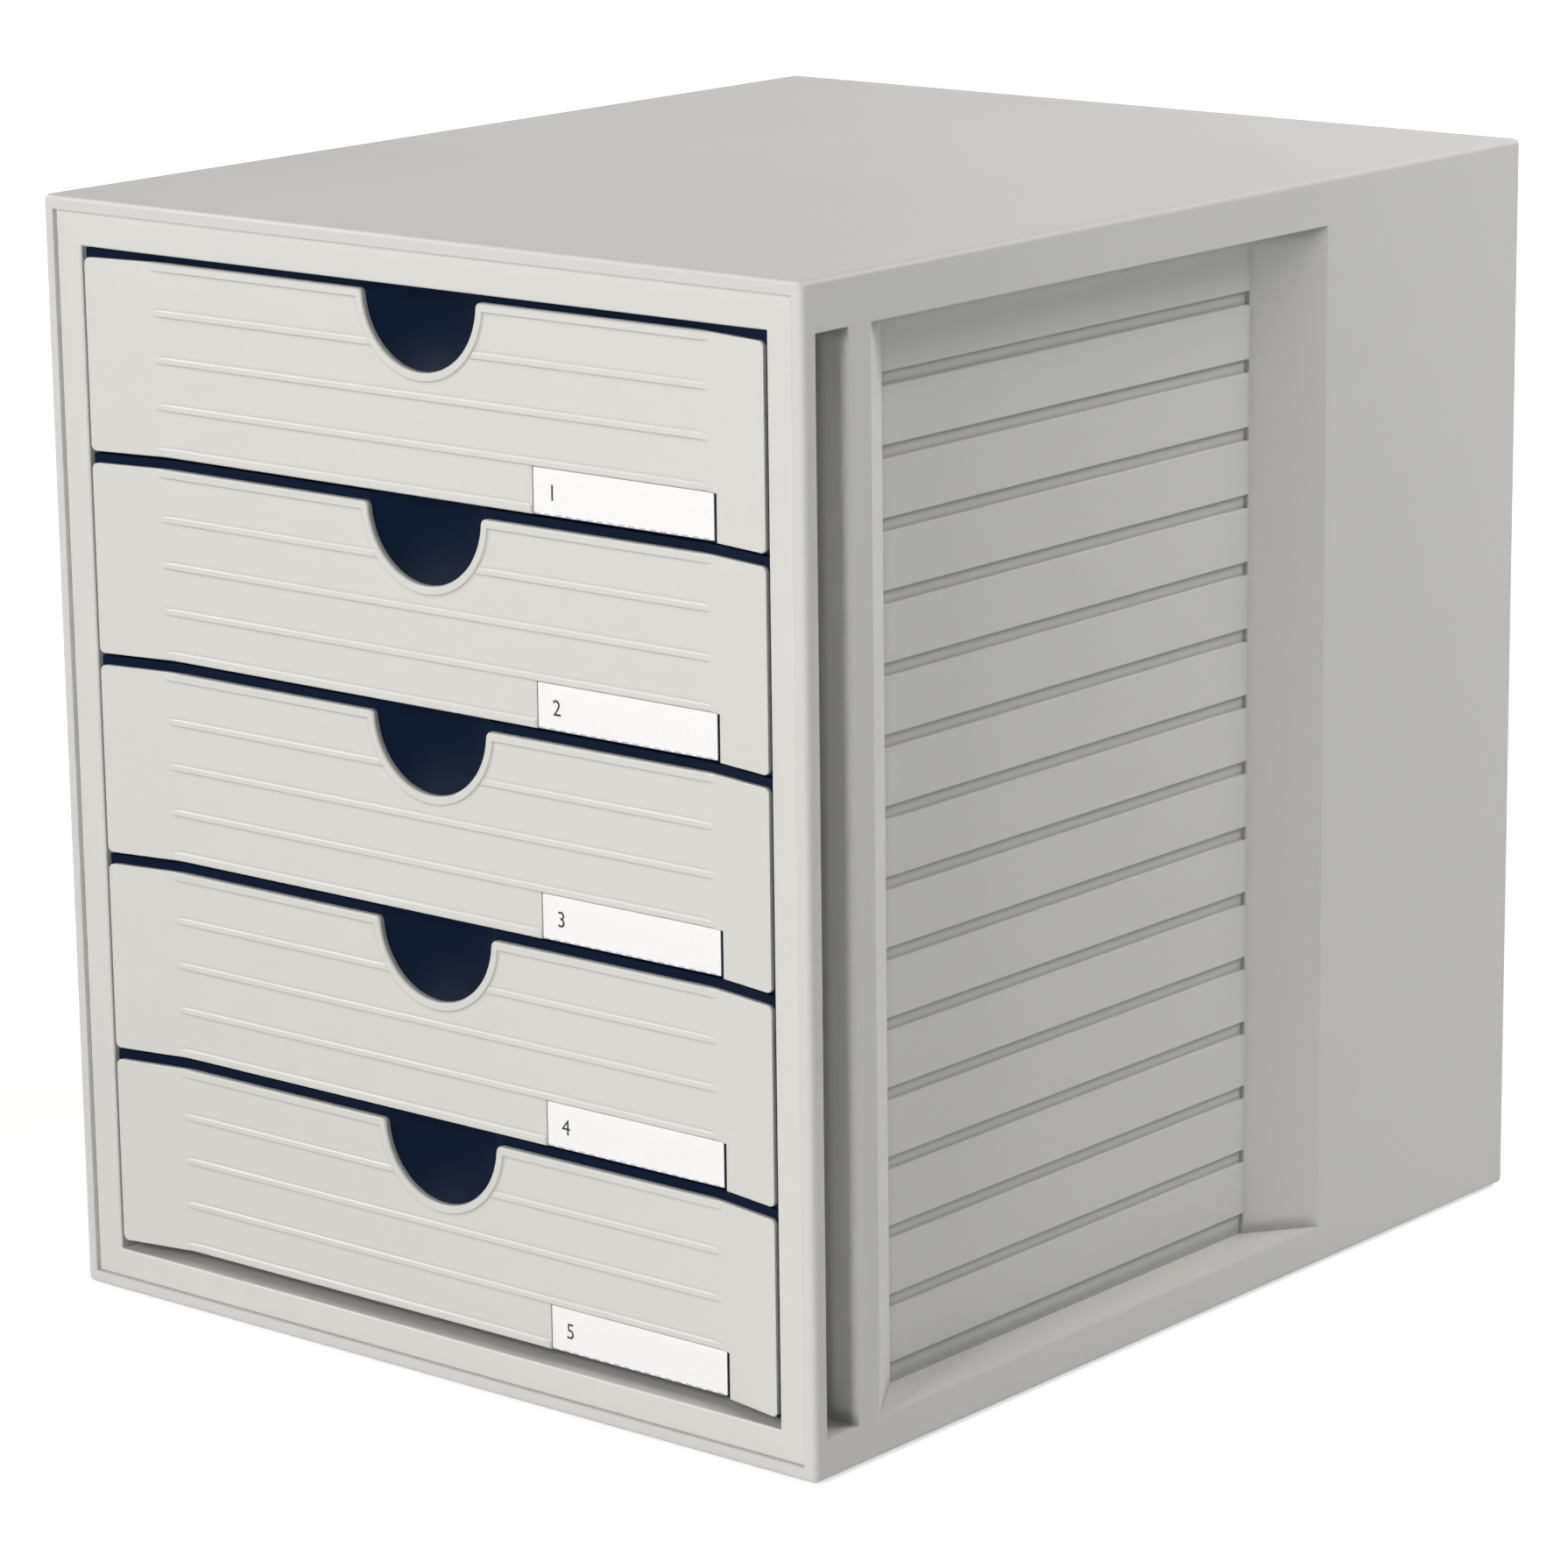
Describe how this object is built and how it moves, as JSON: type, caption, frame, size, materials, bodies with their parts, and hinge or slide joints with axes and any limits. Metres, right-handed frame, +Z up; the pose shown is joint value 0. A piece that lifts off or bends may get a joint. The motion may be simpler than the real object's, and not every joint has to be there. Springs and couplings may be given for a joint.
{
  "type": "desktop drawer unit",
  "caption": "Closed desktop box of shallow sliding letter trays with bevelled fronts, half-round finger notches, label cards and louvred side recesses.",
  "frame": {"origin": "on the table, under the middle of the unit", "axes": "+X across the width to the right as seen from the front, +Y from the drawer fronts to the rear, +Z up; the drawers open towards -Y"},
  "size_m": [0.275, 0.33, 0.32],
  "materials": {
    "housing_grey": "fine satin grain, light grey polystyrene",
    "frame_grey": "fine satin grain, light grey polystyrene",
    "front_grey": "fine satin grain, light grey polystyrene",
    "runner_grey": "plain moulded grey plastic",
    "tray_navy": "smooth dark navy plastic",
    "label_card": "plain white card",
    "foot_rubber": "matt black rubber"
  },
  "bodies": {
    "housing": {"housing_shell": "housing_grey", "front_frame": "frame_grey", "rear_panel": "housing_grey", "runner_panel_left": "runner_grey", "runner_panel_right": "runner_grey", "rubber_foot_front_left": "foot_rubber", "rubber_foot_front_right": "foot_rubber", "rubber_foot_rear_left": "foot_rubber", "rubber_foot_rear_right": "foot_rubber"},
    "drawer_1": {"drawer_1_tray": "tray_navy", "drawer_1_front": "front_grey", "drawer_1_label": "label_card"},
    "drawer_2": {"drawer_2_tray": "tray_navy", "drawer_2_front": "front_grey", "drawer_2_label": "label_card"},
    "drawer_3": {"drawer_3_tray": "tray_navy", "drawer_3_front": "front_grey", "drawer_3_label": "label_card"},
    "drawer_4": {"drawer_4_tray": "tray_navy", "drawer_4_front": "front_grey", "drawer_4_label": "label_card"},
    "drawer_5": {"drawer_5_tray": "tray_navy", "drawer_5_front": "front_grey", "drawer_5_label": "label_card"}
  },
  "joints": [
    {"name": "drawer_1_slide", "type": "slide", "parent": "housing", "child": "drawer_1", "axis": [0, -1, 0], "range_m": [0, 0.25]},
    {"name": "drawer_2_slide", "type": "slide", "parent": "housing", "child": "drawer_2", "axis": [0, -1, 0], "range_m": [0, 0.25]},
    {"name": "drawer_3_slide", "type": "slide", "parent": "housing", "child": "drawer_3", "axis": [0, -1, 0], "range_m": [0, 0.25]},
    {"name": "drawer_4_slide", "type": "slide", "parent": "housing", "child": "drawer_4", "axis": [0, -1, 0], "range_m": [0, 0.25]},
    {"name": "drawer_5_slide", "type": "slide", "parent": "housing", "child": "drawer_5", "axis": [0, -1, 0], "range_m": [0, 0.25]}
  ]
}
